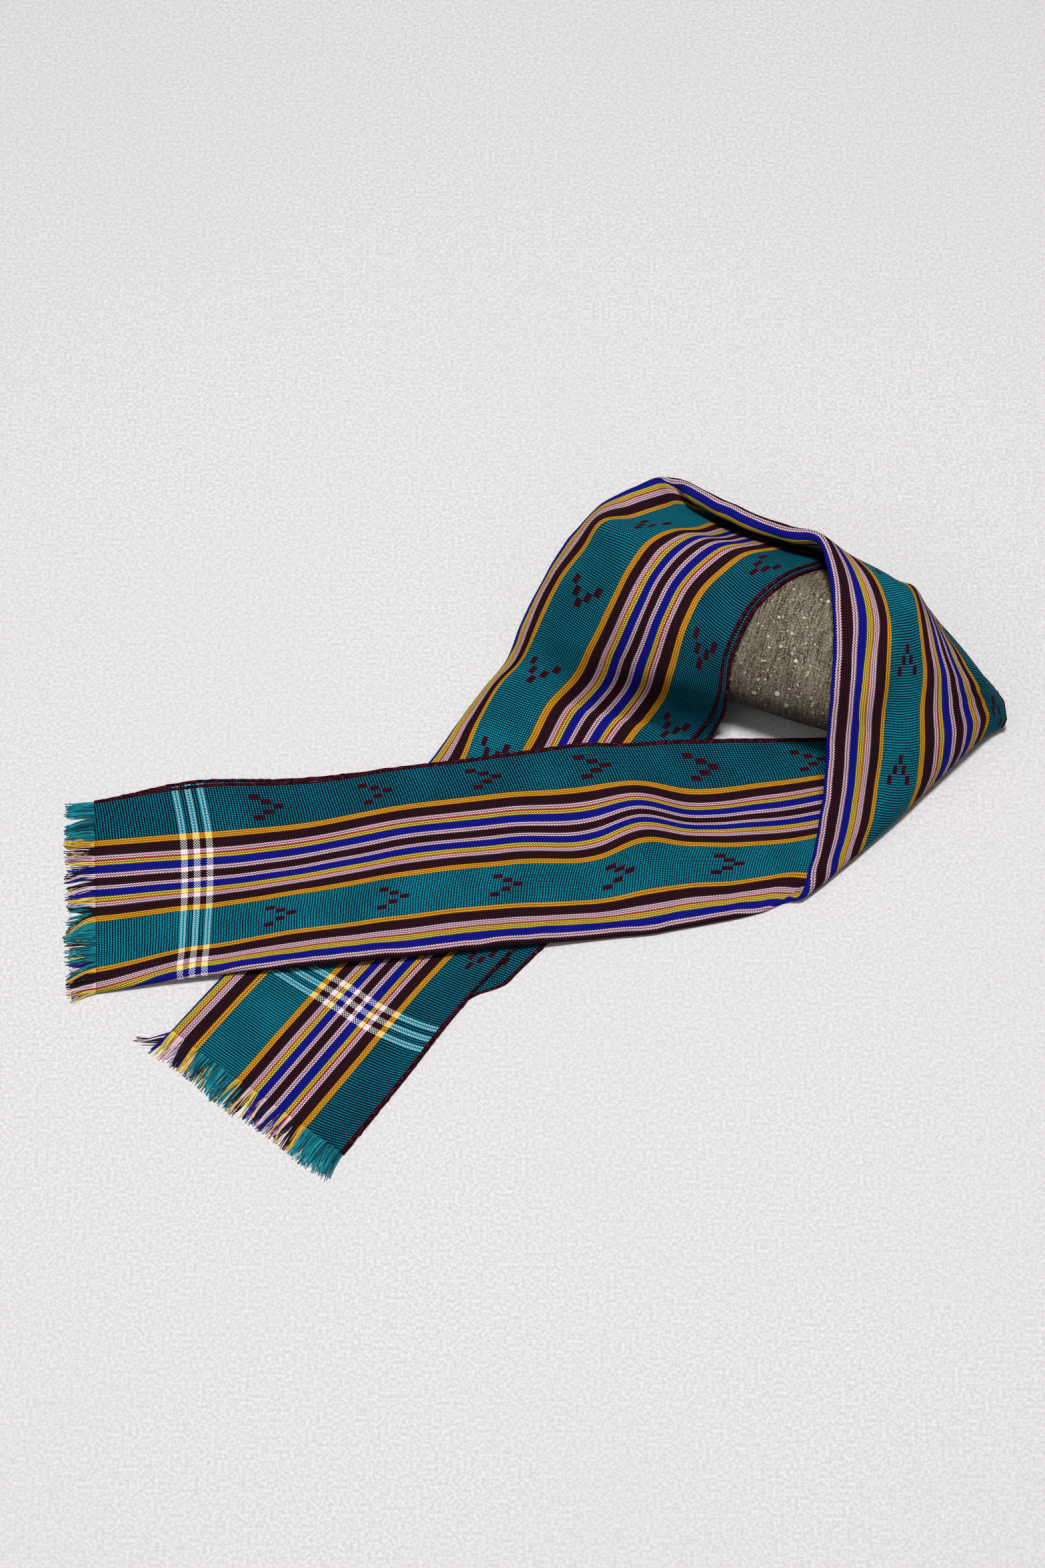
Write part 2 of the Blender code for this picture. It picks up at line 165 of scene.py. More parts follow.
# Each yarn: its colour, the dark it shows between its rows, and how strongly its rows show.
Yarn = namedtuple("Yarn", "colour gap rows")
YARNS = {
    "yellow": Yarn((0.88, 0.42, 0.022), (0.15, 0.035, 0.003), 1.0),
    "black": Yarn((0.040, 0.0105, 0.018), (0.0015, 0.0008, 0.001), 0.9),
    "pink": Yarn((0.88, 0.62, 0.72), (0.050, 0.005, 0.012), 1.0),
    "red": Yarn((0.66, 0.012, 0.035), (0.03, 0.002, 0.004), 0.8),
    "lemon": Yarn((0.88, 0.64, 0.070), (0.030, 0.020, 0.002), 1.0),
    "blue": Yarn((0.007, 0.010, 0.27), (0.002, 0.003, 0.055), 0.6),
    "orange": Yarn((0.84, 0.11, 0.006), (0.12, 0.01, 0.002), 0.8),
}
# Yarns whose rows show more than LIGHT_ROWS are light. The next ones are dulled on a loose yarn.
LIGHT_ROWS, DULL_ROWS = 0.95, 0.85
TEAL_DASH, TEAL_DULL, TEAL_GAP = (0.008, 0.37, 0.51), (0.002, 0.024, 0.048), (0.003, 0.003, 0.007)
SELVEDGE_DARK, SELVEDGE_RED = (0.010, 0.003, 0.005), (0.095, 0.008, 0.022)
MOTIF = (0.085, 0.004, 0.014)
WHITE = (0.90, 0.88, 0.80)
LOOSE_TEALS, TWIST_DARK = ((0.004, 0.085, 0.12), (0.012, 0.40, 0.50)), (0.01, 0.01, 0.012)
CORD_PALE = (0.30, 0.14, 0.15)

# Where the groups lie across the whole cloth, once drawn in.
SIDE_COUNTED = sum(wide for _, wide in SIDE_GROUP)
FOLD_COUNTED = sum(wide for _, wide in FOLD_GROUP)
DRAWN_IN = BAND_WIDE / (SELVEDGE_WIDE + OUTER_FIELD + SIDE_COUNTED + INNER_FIELD + FOLD_COUNTED / 2)
SIDE_FROM = (SELVEDGE_WIDE + OUTER_FIELD) * DRAWN_IN
SIDE_ACROSS, FOLD_ACROSS = SIDE_COUNTED * DRAWN_IN, FOLD_COUNTED * DRAWN_IN

# The weave: ribs along the cloth, rows across it.
RIB_PITCH = 1.95
ROW_PITCH = 1.65
DASH_PITCH = 1.28
# How far the ribs wander and tremble from straight, each with the scale of its noise.
WANDER, WANDER_SCALE, TREMBLE, TREMBLE_SCALE = 1.6, 0.06, 0.3, 0.6

# Near the selvedges the weft bends back, most at the near end.
BOW_NEAR, BOW_FAR, BOW_WIDE = 12.5, 4.5, 60.0
BOW_FROM, BOW_TO = 200.0, 700.0

# The brocaded chevrons along the middle of each teal field, of two pairs of steps and a tip that
# points to the near end. Rows run from each end: where the first is, and how far apart they are.
CHEVRON_TURN = 650.0
CHEVRONS_NEAR = ((163.0, 77.0), (160.0, 77.0))
CHEVRONS_FAR = ((124.5, 77.5), (132.0, 81.6))
CHEVRON_SLACK, SLACK_FROM, SLACK_TO = 19.0, 400.0, 500.0
PLAIN_OUTER, PLAIN_INNER, PLAIN_FAR = 140.0, 205.0, 110.0
CHEVRON_STEPS = ((-11.4, -4.2, 5.8, 9.5), (-3.6, 3.6, 1.95, 5.6), (4.2, 11.4, -1.0, 1.85))

# The white weft bands near each end, measured from that end.
BAND_EDGE_NEAR, BAND_EDGE_FAR = 79.0, 60.0
BAND_PITCH, BAND_LONG, BANDS = 8.9, 4.5, 3
DOT_PITCH = 2.0
DOTS_FROM, DOTS_TO = 0.65, 1.95

# The fringes.
FRINGE_LONG = 22.0
FRINGE_YARNS = 560
FRINGE_FLARE, FLARE_WIDE = 19.0, 13.0
FRINGE_LOCKS = 24
# How far a lock turns aside, and how much each yarn is drawn to the middle of its lock.
LOCK_TURN, LOCK_PULL, PULL_VARIES, PULL_STRAY = 14.0, 0.16, 0.55, 0.25
YARN_OVERLAP, YARN_TAPER, WELD = 0.6, 0.35, 0.00001
YARN_RINGS, YARN_SIDES = 7, 4
CORD_RADIUS, CORD_SIDES, CORD_LUMP, CORD_LOWEST = 1.15, 7, 0.6, 0.2
# The point that a selvedge is turned away from, this many lines in.
CORD_INWARD = 4

# The stone: its dark and light turning marks, pale grains, dark grit and a cloud over all.
STONE_DARK, STONE_LIGHT = (0.022, 0.015, 0.009), (0.42, 0.33, 0.225)
STONE_GRAIN, STONE_GRIT, STONE_CLOUD = (0.72, 0.585, 0.42), (0.016, 0.012, 0.009), (0.09, 0.072, 0.055)
# Its specks: cells to a millimetre, the largest size in a cell, the share of cells with one, and colour.
Speck = namedtuple("Speck", "scale size share tint")
SPECKS = (
    Speck(0.12, 0.24, 0.30, (0.92, 0.89, 0.82)),
    Speck(0.21, 0.26, 0.30, (0.90, 0.70, 0.50)),
    Speck(0.33, 0.26, 0.34, (0.90, 0.85, 0.76)),
    Speck(0.62, 0.26, 0.42, (0.78, 0.70, 0.60)),
    Speck(1.05, 0.24, 0.42, (0.66, 0.58, 0.48)),
)
# Painted shade on the stone: it is darkest low down, and at its full brightness from the second of these
# heights up.
PAINTED_SHADE_FROM, PAINTED_SHADE_TO, PAINTED_SHADE_RAGGED, PAINTED_SHADE_LEAST = 26.0, 92.0, 22.0, 0.03

# The floor, the lights, the world and the camera, in metres.
FLOOR_HALF = 3.0
LINEN_PITCH = 0.0021
LINEN_DARK, LINEN_PALE, LINEN_CLOUD = (0.69, 0.67, 0.675), (0.93, 0.905, 0.905), (0.78, 0.76, 0.78)
LIGHTS = (
    ("key", (0.10, 0.0, 3.4), 0.55, 92.0),
    ("fill", (-1.2, -0.6, 2.0), 2.0, 6.0),
)
WORLD_STRENGTH = 0.16
LENS, SENSOR = 85, 36
CAMERA_SLOPE, CAMERA_AWAY = math.radians(62), 2.67


def placed(points):
    """Points of the drawing in the frame's place, in metres."""
    return (np.asarray(points, float) - MIDDLE) * MM


def filled(section):
    """The five points of a section, set straight between its edges where it has only those."""
    points = np.array(section.points, float)
    if len(points) == len(LINES_ACROSS):
        return points
    fold, selvedge = points
    return np.array([fold + (selvedge - fold) * across / BAND_WIDE for across in LINES_ACROSS])


def smooth(t):
    """From 0 to 1, flat at both."""
    return t * t * (3 - 2 * t)


def spline(knots, points, at):
    """The smooth curve through points at the given knots, read at other places."""
    wide = np.diff(knots)[:, None]
    chord = np.diff(points, axis=0) / wide
    slope = np.vstack((chord[:1], chord))
    slope[1:-1] = (chord[:-1] * wide[1:] + chord[1:] * wide[:-1]) / (wide[1:] + wide[:-1])
    i = np.clip(np.searchsorted(knots, at, side="right") - 1, 0, len(wide) - 1)
    t = ((at - knots[i]) / wide[i, 0])[:, None]
    return (
        points[i] * (2 * t**3 - 3 * t**2 + 1)
        + slope[i] * wide[i] * (t**3 - 2 * t**2 + t)
        + points[i + 1] * (3 * t**2 - 2 * t**3)
        + slope[i + 1] * wide[i] * (t**3 - t**2)
    )


def stations(rows):
    """Places along the band, each as a section number with its fraction, about evenly spaced."""
    places = []
    gaps = np.linalg.norm(np.diff(rows, axis=0), axis=2).mean(axis=1)
    for i, gap in enumerate(gaps):
        steps = max(LEAST_STEPS, round(gap / STATION_PITCH))
        places += [i + k / steps for k in range(steps)]
    return np.array(places + [len(rows) - 1.0])


def cuts_across():
    """Distances from the fold, closer together near it and near the selvedge."""
    t = np.linspace(0, 1, LAYER_CUTS)
    both, fold = np.sin(2 * math.pi * t), np.sin(math.pi * t)
    return BAND_WIDE * (t - CLOSER_BOTH * both - CLOSER_FOLD * fold)


def clear(points):
    """The points, moved out where they are too near the roller and up where too near the table."""
    axis = ROLLER_RIGHT - ROLLER_LEFT
    length = np.linalg.norm(axis)
    along_way = axis / length
    side_way = np.array((-along_way[1], along_way[0]))
    flat = points[..., :2] - ROLLER_LEFT
    along, side = flat @ along_way, flat @ side_way
    height = points[..., 2] - ROLLER_RADIUS + ROLLER_FLAT
    inside = np.minimum(along, length - along) / RIM_EASE
    hold = 1 - smooth(np.clip(-inside, 0, 1))
    least = ROLLER_RADIUS + ROLLER_CLEAR + RIM_CLEAR * np.clip(1 - inside, 0, 1)
    shift = np.maximum(least / np.hypot(side, height) - 1, 0) * hold
    moved = points.copy()
    moved[..., :2] += side_way * (side * shift)[..., None]
    moved[..., 2] = np.maximum(points[..., 2] + height * shift, FLAT)
    return moved


def wrinkled(surface, cuts):
    """The surface with shallow wrinkles, none at the ends, and finer ones near the fold."""
    normal = unit(np.cross(np.gradient(surface, axis=1), np.gradient(surface, axis=0)))
    count = len(surface)
    rise = np.zeros(surface.shape[:2])
    for i, line in enumerate(surface):
        hold = min(1.0, i / WRINKLE_EASE, (count - 1 - i) / WRINKLE_EASE)
        for k, spot in enumerate(line):
            broad = noise.noise(Vector(spot) * WRINKLE_BROAD)
            fine = noise.noise(Vector(spot) * WRINKLE_FINE) * math.exp(-cuts[k] / FINE_REACH)
            rise[i, k] = hold * (WRINKLE_HIGH * broad + FINE_SHARE * WRINKLE_HIGH * fine)
    return surface - normal * rise[..., None]


def band_middle(places, cuts):
    """The middle surface of the folded band: stations by cuts."""
    rows = np.array([filled(section) for section in SECTIONS])
    i = np.minimum(places.astype(int), len(rows) - 2)
    columns = []
    for line in range(len(LINES_ACROSS)):
        points = rows[:, line]
        steps = np.maximum(np.linalg.norm(np.diff(points, axis=0), axis=1), 1.0)
        running = np.concatenate(((0.0,), np.cumsum(steps)))
        at = running[i] + (running[i + 1] - running[i]) * (places - i)
        columns.append(spline(running, points, at))
    columns = np.array(columns)
    knots = np.array(LINES_ACROSS)
    surface = np.array([spline(knots, columns[:, k], cuts) for k in range(len(places))])
    return clear(wrinkled(surface, cuts))


def eased(places, field):
    """A named number of the sections, eased between those that each station lies between."""
    values = np.array([getattr(section, field) for section in SECTIONS], float)
    i = np.minimum(places.astype(int), len(values) - 2)
    t = smooth(places - i)
    return (values[i] * (1 - t) + values[i + 1] * t)[:, None]


def unit(vectors):
    """The vectors at length one."""
    return vectors / np.linalg.norm(vectors, axis=-1, keepdims=True)


def lengths_along(layer):
    """The running length along every line of a layer, drawn to one common length."""
    steps = np.linalg.norm(np.diff(layer, axis=0), axis=2)
    running = np.vstack((np.zeros((1, steps.shape[1])), np.cumsum(steps, axis=0)))
    return running * running[-1].mean() / running[-1]


def leaning(cuts):
    """How much of the lean reaches each distance from the fold: most just before the third line."""
    up = np.clip((cuts - LEAN_FROM) / (LEAN_MOST - LEAN_FROM), 0, 1)
    down = np.clip((cuts - LEAN_MOST) / (BAND_WIDE - LEAN_MOST), 0, 1)
    return smooth(up) * (1 - smooth(down))


def yarn_places(places, cuts, radius):
    """Where each point lies across the whole cloth, from the first half's selvedge."""
    shift, lean = eased(places, "shift"), eased(places, "lean")
    arc = np.pi * radius / 2
    yarn = cuts + arc * np.clip(1 - cuts / LINES_ACROSS[1], 0, 1) + lean * leaning(cuts)
    far_in = np.interp(places, SLIDE_TURNS, SLIDE_REACH)[:, None]
    slide = shift * np.exp(-((cuts / far_in) ** 2))
    around = BAND_WIDE + shift + arc * np.linspace(-1, 1, FOLD_TURNS + 1)[1:-1]
    first, second = BAND_WIDE + slide - yarn, BAND_WIDE + slide + yarn
    return np.concatenate((first[:, ::-1], around, second), axis=1)


def folded_band():
    """The cloth's middle layer: its points, stations by lines, and how far along and across each is."""
    rows = np.array([filled(section) for section in SECTIONS])
    places, cuts = stations(rows), cuts_across()
    middle = band_middle(places, cuts)
    across = unit(np.gradient(middle, axis=1))
    normal = unit(np.cross(across, np.gradient(middle, axis=0)))
    puff, outer, peek = (eased(places, field) for field in ("puff", "outer", "peek"))
    swell = puff * np.exp(-((cuts / PUFF_REACH) ** 2))
    reach = peek * (cuts / BAND_WIDE) ** PEEK_POWER
    first = middle + normal * (LAYER_STEP / 2 + swell * outer)[..., None]
    second = middle - normal * (LAYER_STEP / 2 + swell * (1 - outer))[..., None]
    second = second + across * reach[..., None]
    centre = (first[:, 0] + second[:, 0]) / 2
    radius = np.linalg.norm(first[:, 0] - second[:, 0], axis=1, keepdims=True) / 2
    turn = [
        centre + normal[:, 0] * radius * math.cos(angle) - across[:, 0] * radius * math.sin(angle)
        for angle in np.pi * np.arange(1, FOLD_TURNS) / FOLD_TURNS
    ]
    points = np.concatenate((first[:, ::-1], np.array(turn).transpose(1, 0, 2), second), axis=1)
    along = lengths_along(middle)
    around = np.repeat(along[:, :1], FOLD_TURNS - 1, axis=1)
    alongs = np.concatenate((along[:, ::-1], around, along), axis=1)
    return points, alongs, yarn_places(places, cuts, radius)


def finished(name, shape, material):
    """A named piece from a finished bmesh, riding on the part."""
    mesh = bpy.data.meshes.new(name)
    shape.to_mesh(mesh)
    shape.free()
    mesh.materials.append(material)
    mesh.shade_smooth()
    piece = bpy.data.objects.new(name, mesh)
    bpy.context.scene.collection.objects.link(piece)
    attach(piece, "root")
    return piece


def solidified(piece, thick):
    """The piece with its thickness added to both sides."""
    wall = piece.modifiers.new("Thickness", "SOLIDIFY")
    wall.thickness = thick * MM
    wall.offset = 0
    return piece


def draped_grid(points, alongs, yarns):
    """A grid moved onto the given points, with the yarn places as its UV map."""
    along, across = points.shape[:2]
    shape = bmesh.new()
    bmesh.ops.create_grid(shape, x_segments=across - 1, y_segments=along - 1, size=1, calc_uvs=True)
    places = placed(points).reshape(-1, 3)
    maps = np.stack((alongs, yarns), axis=2).reshape(-1, 2) * MM
    for vert in shape.verts:
        vert.co = places[vert.index]
    layer = shape.loops.layers.uv.verify()
    for face in shape.faces:
        for loop in face.loops:
            loop[layer].uv = maps[loop.vert.index]
    return shape


def make_fringe(name, node, ends, yarns, away, seed, flare, material):
    """Loose yarns from the end of the cloth, drawn together in small locks that lie on the table."""
    chance = random.Random(seed)
    shape = bmesh.new()
    layer = shape.loops.layers.uv.verify()
    run = np.concatenate(((0.0,), np.cumsum(np.linalg.norm(np.diff(ends, axis=0), axis=1))))
    side = np.array((-away[1], away[0], 0.0))
    foldward = math.copysign(1, (ends[1] - ends[0]) @ side)
    lock_wide = run[-1] / FRINGE_LOCKS
    for k in range(FRINGE_YARNS):
        at = (k + chance.uniform(0.1, 0.9)) / FRINGE_YARNS * run[-1]
        root = np.array([np.interp(at, run, ends[:, axis]) for axis in range(3)])
        lane = np.interp(at, run, yarns)
        lock = (int(at / lock_wide) + 0.5) * lock_wide
        turn = noise.noise((lock * 0.11, seed, 0.0)) * LOCK_TURN
        varied = PULL_VARIES * noise.noise((lock * 0.7, seed, 6.0))
        pull = (lock - at) * (LOCK_PULL + varied + chance.uniform(-PULL_STRAY, PULL_STRAY))
        longer = 1 + 0.22 * noise.noise((lock * 0.3, seed, 3.0))
        long = FRINGE_LONG * chance.uniform(0.82, 1.04) * longer
        bend = chance.uniform(-1.5, 1.5)
        drop = chance.uniform(0.4, 3.4)
        thick = chance.uniform(0.32, 0.45)
        sign = foldward if lane < BAND_WIDE else -foldward
        spread = foldward * flare * max(0.0, 1 - abs(lane - BAND_WIDE) / FLARE_WIDE)
        path = []
        for ring in range(YARN_RINGS):
            t = ring / (YARN_RINGS - 1)
            curl = bend * math.sin(t * 4.0 + lock) * 0.6 * t
            sway = pull * sign * t**0.7 + turn * t**1.9 + curl + spread * t
            arch = drop * math.sin(math.pi * min(t * 1.2, 1)) * 0.7
            height = max(root[2] * (1 - t) ** 2 + arch, thick)
            spot = root + away * (long * t - YARN_OVERLAP) + side * sway
            path.append((spot[0], spot[1], height))
        add_yarn(shape, layer, np.array(path), thick, at, lane)
    piece = finished(name, shape, material)
    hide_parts(node)
    return piece


def add_yarn(shape, layer, path, thick, at, lane):
    """One yarn: a rolled-up grid along a path, closed at both ends."""
    made = bmesh.ops.create_grid(shape, x_segments=YARN_SIDES, y_segments=len(path) - 1, size=1)["verts"]
    heading = unit(np.gradient(path, axis=0))
    side = unit(np.cross(heading, (0.0, 0.0, 1.0)))
    up = np.cross(side, heading)
    for k, vert in enumerate(made):
        ring, spoke = divmod(k, YARN_SIDES + 1)
        angle = 2 * math.pi * spoke / YARN_SIDES
        wide = thick * (1 - YARN_TAPER * (ring / (len(path) - 1)) ** 3)
        spot = path[ring] + (side[ring] * math.cos(angle) + up[ring] * math.sin(angle)) * wide
        vert.co = placed(spot)
    faces = {face for vert in made for face in vert.link_faces}
    for face in faces:
        for loop in face.loops:
            loop[layer].uv = (at * MM, lane * MM)
    bmesh.ops.remove_doubles(shape, verts=made, dist=WELD)
    edges = {edge for face in faces if face.is_valid for edge in face.edges if edge.is_boundary}
    caps = bmesh.ops.holes_fill(shape, edges=list(edges), sides=YARN_SIDES)["faces"]
    for face in caps:
        for loop in face.loops:
            loop[layer].uv = (at * MM, lane * MM)
    bmesh.ops.recalc_face_normals(shape, faces=list(face for face in faces if face.is_valid) + caps)


def make_cords(points, material):
    """The thick turned edges along both selvedges, lumpy where the weft goes round."""
    shape = bmesh.new()
    layer = shape.loops.layers.uv.verify()
    for line, seed in ((0, 3.0), (-1, 8.0)):
        path = points[:, line]
        heading = unit(np.gradient(path, axis=0))
        outward = unit(path - points[:, CORD_INWARD if line == 0 else -1 - CORD_INWARD])
        up = np.cross(heading, outward)
        made = bmesh.ops.create_grid(shape, x_segments=CORD_SIDES, y_segments=len(path) - 1, size=1)["verts"]
        for k, vert in enumerate(made):
            ring, spoke = divmod(k, CORD_SIDES + 1)
            angle = 2 * math.pi * spoke / CORD_SIDES
            lump = noise.noise((ring * 0.9, math.cos(angle) + seed, math.sin(angle)))
            wide = CORD_RADIUS * (1 + CORD_LUMP * lump)
            spot = path[ring] + (outward[ring] * math.cos(angle) + up[ring] * math.sin(angle)) * wide
            spot[2] = max(spot[2], CORD_LOWEST)
            vert.co = placed(spot)
        faces = {face for vert in made for face in vert.link_faces}
        bmesh.ops.remove_doubles(shape, verts=made, dist=WELD)
        edges = {edge for face in faces if face.is_valid for edge in face.edges if edge.is_boundary}
        bmesh.ops.holes_fill(shape, edges=list(edges), sides=CORD_SIDES)
    bmesh.ops.recalc_face_normals(shape, faces=shape.faces)
    for face in shape.faces:
        for loop in face.loops:
            loop[layer].uv = (loop.vert.co.x, loop.vert.co.y)
    piece = finished("selvedge_cords", shape, material)
    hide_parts("shawl")
    return piece


def drum(half):
    """A plain turned drum about the X axis, with its rims worn off."""
    left = [(-half, r) for r in ROLLER_RINGS]
    left += [(-half + along, ROLLER_RADIUS - down) for along, down in RIM_CHAMFER[:2]]
    right = [(-x, r) for x, r in reversed(left)]
    shoulder = RIM_CHAMFER[2][0]
    skin = [(x, ROLLER_RADIUS) for x in np.arange(-half + shoulder, half - shoulder + 0.1, ROLLER_STEP)]
    shape = bmesh.new()
    verts = [shape.verts.new((x * MM, 0, r * MM)) for x, r in left + skin + right]
    edges = [shape.edges.new(pair) for pair in zip(verts, verts[1:])]
    turned = {"cent": (0, 0, 0), "axis": (1, 0, 0), "angle": 2 * math.pi, "steps": ROLLER_SPOKES}
    bmesh.ops.spin(shape, geom=verts + edges, use_merge=True, **turned)
    bmesh.ops.remove_doubles(shape, verts=shape.verts, dist=2 * WELD)
    bmesh.ops.recalc_face_normals(shape, faces=shape.faces)
    return shape


def roughen(shape, half):
    """Turning grooves, pits and wear over the drum, most at the rims."""
    for vert in shape.verts:
        spot = Vector(vert.co) / MM
        grooves = noise.noise((spot.x * 0.55, spot.y * 0.02, spot.z * 0.02)) * 0.25
        pits = noise.fractal(spot * 0.16, 0.9, 2.2, 4) * 0.45
        wear = noise.noise(spot * 0.045) * 0.5
        at_rim = max(0.0, 1 - (half - abs(spot.x)) / 6)
        near_rim = at_rim * max(0.0, noise.noise(spot * 0.13)) * 1.6
        vert.co += vert.normal * (grooves + min(pits, 0.15) + wear - near_rim - 0.3) * MM


def cut_flat(shape):
    """The narrow flat that the drum lies on."""
    bmesh.ops.bisect_plane(
        shape,
        geom=shape.verts[:] + shape.edges[:] + shape.faces[:],
        plane_co=(0, 0, (ROLLER_FLAT - ROLLER_RADIUS) * MM),
        plane_no=(0, 0, -1),
        clear_outer=True,
    )
    bmesh.ops.holes_fill(shape, edges=[edge for edge in shape.edges if edge.is_boundary], sides=0)


def roller_turn():
    """The angle of the roller's axis over the table."""
    axis = ROLLER_RIGHT - ROLLER_LEFT
    return math.atan2(axis[1], axis[0])


def make_roller(material):
    """A turned stone drum with worn rims and a rough skin, lying on a narrow flat."""
    half = np.linalg.norm(ROLLER_RIGHT - ROLLER_LEFT) / 2
    shape = drum(half)
    roughen(shape, half)
    cut_flat(shape)
    turn = roller_turn()
    middle = placed((*((ROLLER_LEFT + ROLLER_RIGHT) / 2), ROLLER_RADIUS - ROLLER_FLAT))
    for vert in shape.verts:
        x, y, z = vert.co
        vert.co = (
            middle[0] + x * math.cos(turn) - y * math.sin(turn),
            middle[1] + x * math.sin(turn) + y * math.cos(turn),
            middle[2] + z,
        )
    piece = finished("roller_skin", shape, material)
    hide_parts("stone_roller")
    return piece


class Wire:
    """A socket that can be used in sums, which adds the Math nodes they need."""

    def __init__(self, graph, socket):
        self.graph = graph
        self.socket = socket

    def maths(self, operation, *others):
        """The result of one Math node."""
        return self.graph.node("ShaderNodeMath", {"operation": operation}, self, *others)

    def __add__(self, other):
        return self.maths("ADD", other)

    def __sub__(self, other):
        return self.maths("SUBTRACT", other)

    def __rsub__(self, other):
        return self.graph.node("ShaderNodeMath", {"operation": "SUBTRACT"}, other, self)

    def __mul__(self, other):
        return self.maths("MULTIPLY", other)

    def __truediv__(self, other):
        return self.maths("DIVIDE", other)

    def __lt__(self, other):
        return self.maths("LESS_THAN", other)

    def __gt__(self, other):
        return self.maths("GREATER_THAN", other)

    def __abs__(self):
        return self.maths("ABSOLUTE")

    __radd__ = __add__
    __rmul__ = __mul__

    def part(self):
        """What is over whole numbers, from 0 to 1."""
        return self.maths("FRACT")

    def off_middle(self):
        """How far it is from the middle between two whole numbers, from 0 to a half."""
        return abs(self.part() - 0.5)

    def wave(self):
        """The sine of it, once round for each whole number."""
        return (self * (2 * math.pi)).maths("SINE")

    def least(self, other):
        return self.maths("MINIMUM", other)

    def most(self, other):
        return self.maths("MAXIMUM", other)

    def between(self, low, high):
        """1 from low to high, 0 outside."""
        return (self > low) * (self < high)

    def eased(self, low, high):
        """0 at low to 1 at high, smoothly."""
        settings = {"interpolation_type": "SMOOTHSTEP"}
        return self.graph.node("ShaderNodeMapRange", settings, self, low, high, 0.0, 1.0)


class Graph:
    """The nodes of one material."""

    def __init__(self, name):
        self.material = bpy.data.materials.new(name)
        self.material.use_nodes = True
        self.nodes = self.material.node_tree.nodes
        self.links = self.material.node_tree.links
        self.shader = self.nodes["Principled BSDF"]

    def add(self, kind, settings=None, *inputs, **named):
        """A node with its settings made first, and then its sockets, by place or by name."""
        node = self.nodes.new(kind)
        for key, value in (settings or {}).items():
            setattr(node, key, value)
        pairs = list(enumerate(inputs)) + list(named.items())
        for key, value in pairs:
            if value is None:
                continue
            socket = node.inputs[key.replace("_", " ") if isinstance(key, str) else key]
            if isinstance(value, Wire):
                self.links.new(value.socket, socket)
            else:
                socket.default_value = value
        return node

    def node(self, kind, settings=None, *inputs, out=0, **named):
        """One output of a new node."""
        return Wire(self, self.add(kind, settings, *inputs, **named).outputs[out])

    def mix(self, share, below, above, blend="MIX"):
        """One colour over another."""
        settings = {"data_type": "RGBA", "blend_type": blend, "clamp_factor": False}
        node = self.add("ShaderNodeMix", settings)
        for place, value in ((0, share), (6, below), (7, above)):
            socket = node.inputs[place]
            if isinstance(value, Wire):
                self.links.new(value.socket, socket)
            else:
                socket.default_value = (*value, 1) if isinstance(value, tuple) else value
        return Wire(self, node.outputs[2])

    def ramp(self, place, stops, blend="CONSTANT"):
        """Bands of colour, each stop a place and a colour with its alpha."""
        node = self.add("ShaderNodeValToRGB", None, place)
        band = node.color_ramp
        band.interpolation = blend
        for k, (at, colour) in enumerate(stops):
            stop = band.elements[k] if k < 2 else band.elements.new(at)
            stop.position = at
            stop.color = colour
        return Wire(self, node.outputs[0]), Wire(self, node.outputs[1])

    def darkened(self, colour, shade):
        """The colour times a share of light."""
        grey = self.node("ShaderNodeCombineXYZ", None, shade, shade, shade)
        return self.mix(1.0, colour, grey, "MULTIPLY")

    def finish(self, colour, rough, gloss, bump, height):
        """The material, of a colour, with a bump of some strength and depth where height says."""
        self.links.new(colour.socket, self.shader.inputs["Base Color"])
        self.shader.inputs["Roughness"].default_value = rough
        self.shader.inputs["Specular IOR Level"].default_value = gloss
        relief = self.node("ShaderNodeBump", None, *bump, None, height)
        self.links.new(relief.socket, self.shader.inputs["Normal"])
        return self.material


def object_place(graph):
    """Where a point is in the object, in metres."""
    return Wire(graph, graph.add("ShaderNodeTexCoord").outputs["Object"])


def noise_wire(graph, vector, scale, detail=2.0, rough=0.5):
    """A soft noise from 0 to 1, about a half."""
    return graph.node("ShaderNodeTexNoise", None, vector, None, scale, detail, rough)


def group_stops(group, field):
    """Ramp stops for a group of stripes, with how strongly each yarn's rows show as the alpha."""
    total = sum(wide for _, wide in group)
    at, stops = 0.0, []
    for yarn, wide in group:
        stops.append((at / total, (*getattr(YARNS[yarn], field), YARNS[yarn].rows)))
        at += wide
    return stops


def row_counts(group):
    """Ramp stops that count whole rows across each stripe of a group, and how many there are."""
    total = sum(wide for _, wide in group)
    ends, counts = [0.0], [0]
    for _, wide in group:
        ends.append(ends[-1] + wide / total)
        counts.append(counts[-1] + max(1, round(wide * DRAWN_IN / ROW_PITCH)))
    stops = [(at, (count / counts[-1],) * 3 + (1.0,)) for at, count in zip(ends, counts)]
    return stops, counts[-1]


# The stripes at a point: the yarn's colour, the dark between its rows, how strongly they show, the
# rows counted across its group, and 1 on the teal fields.
Stripes = namedtuple("Stripes", "colour gap rows in_rows field")


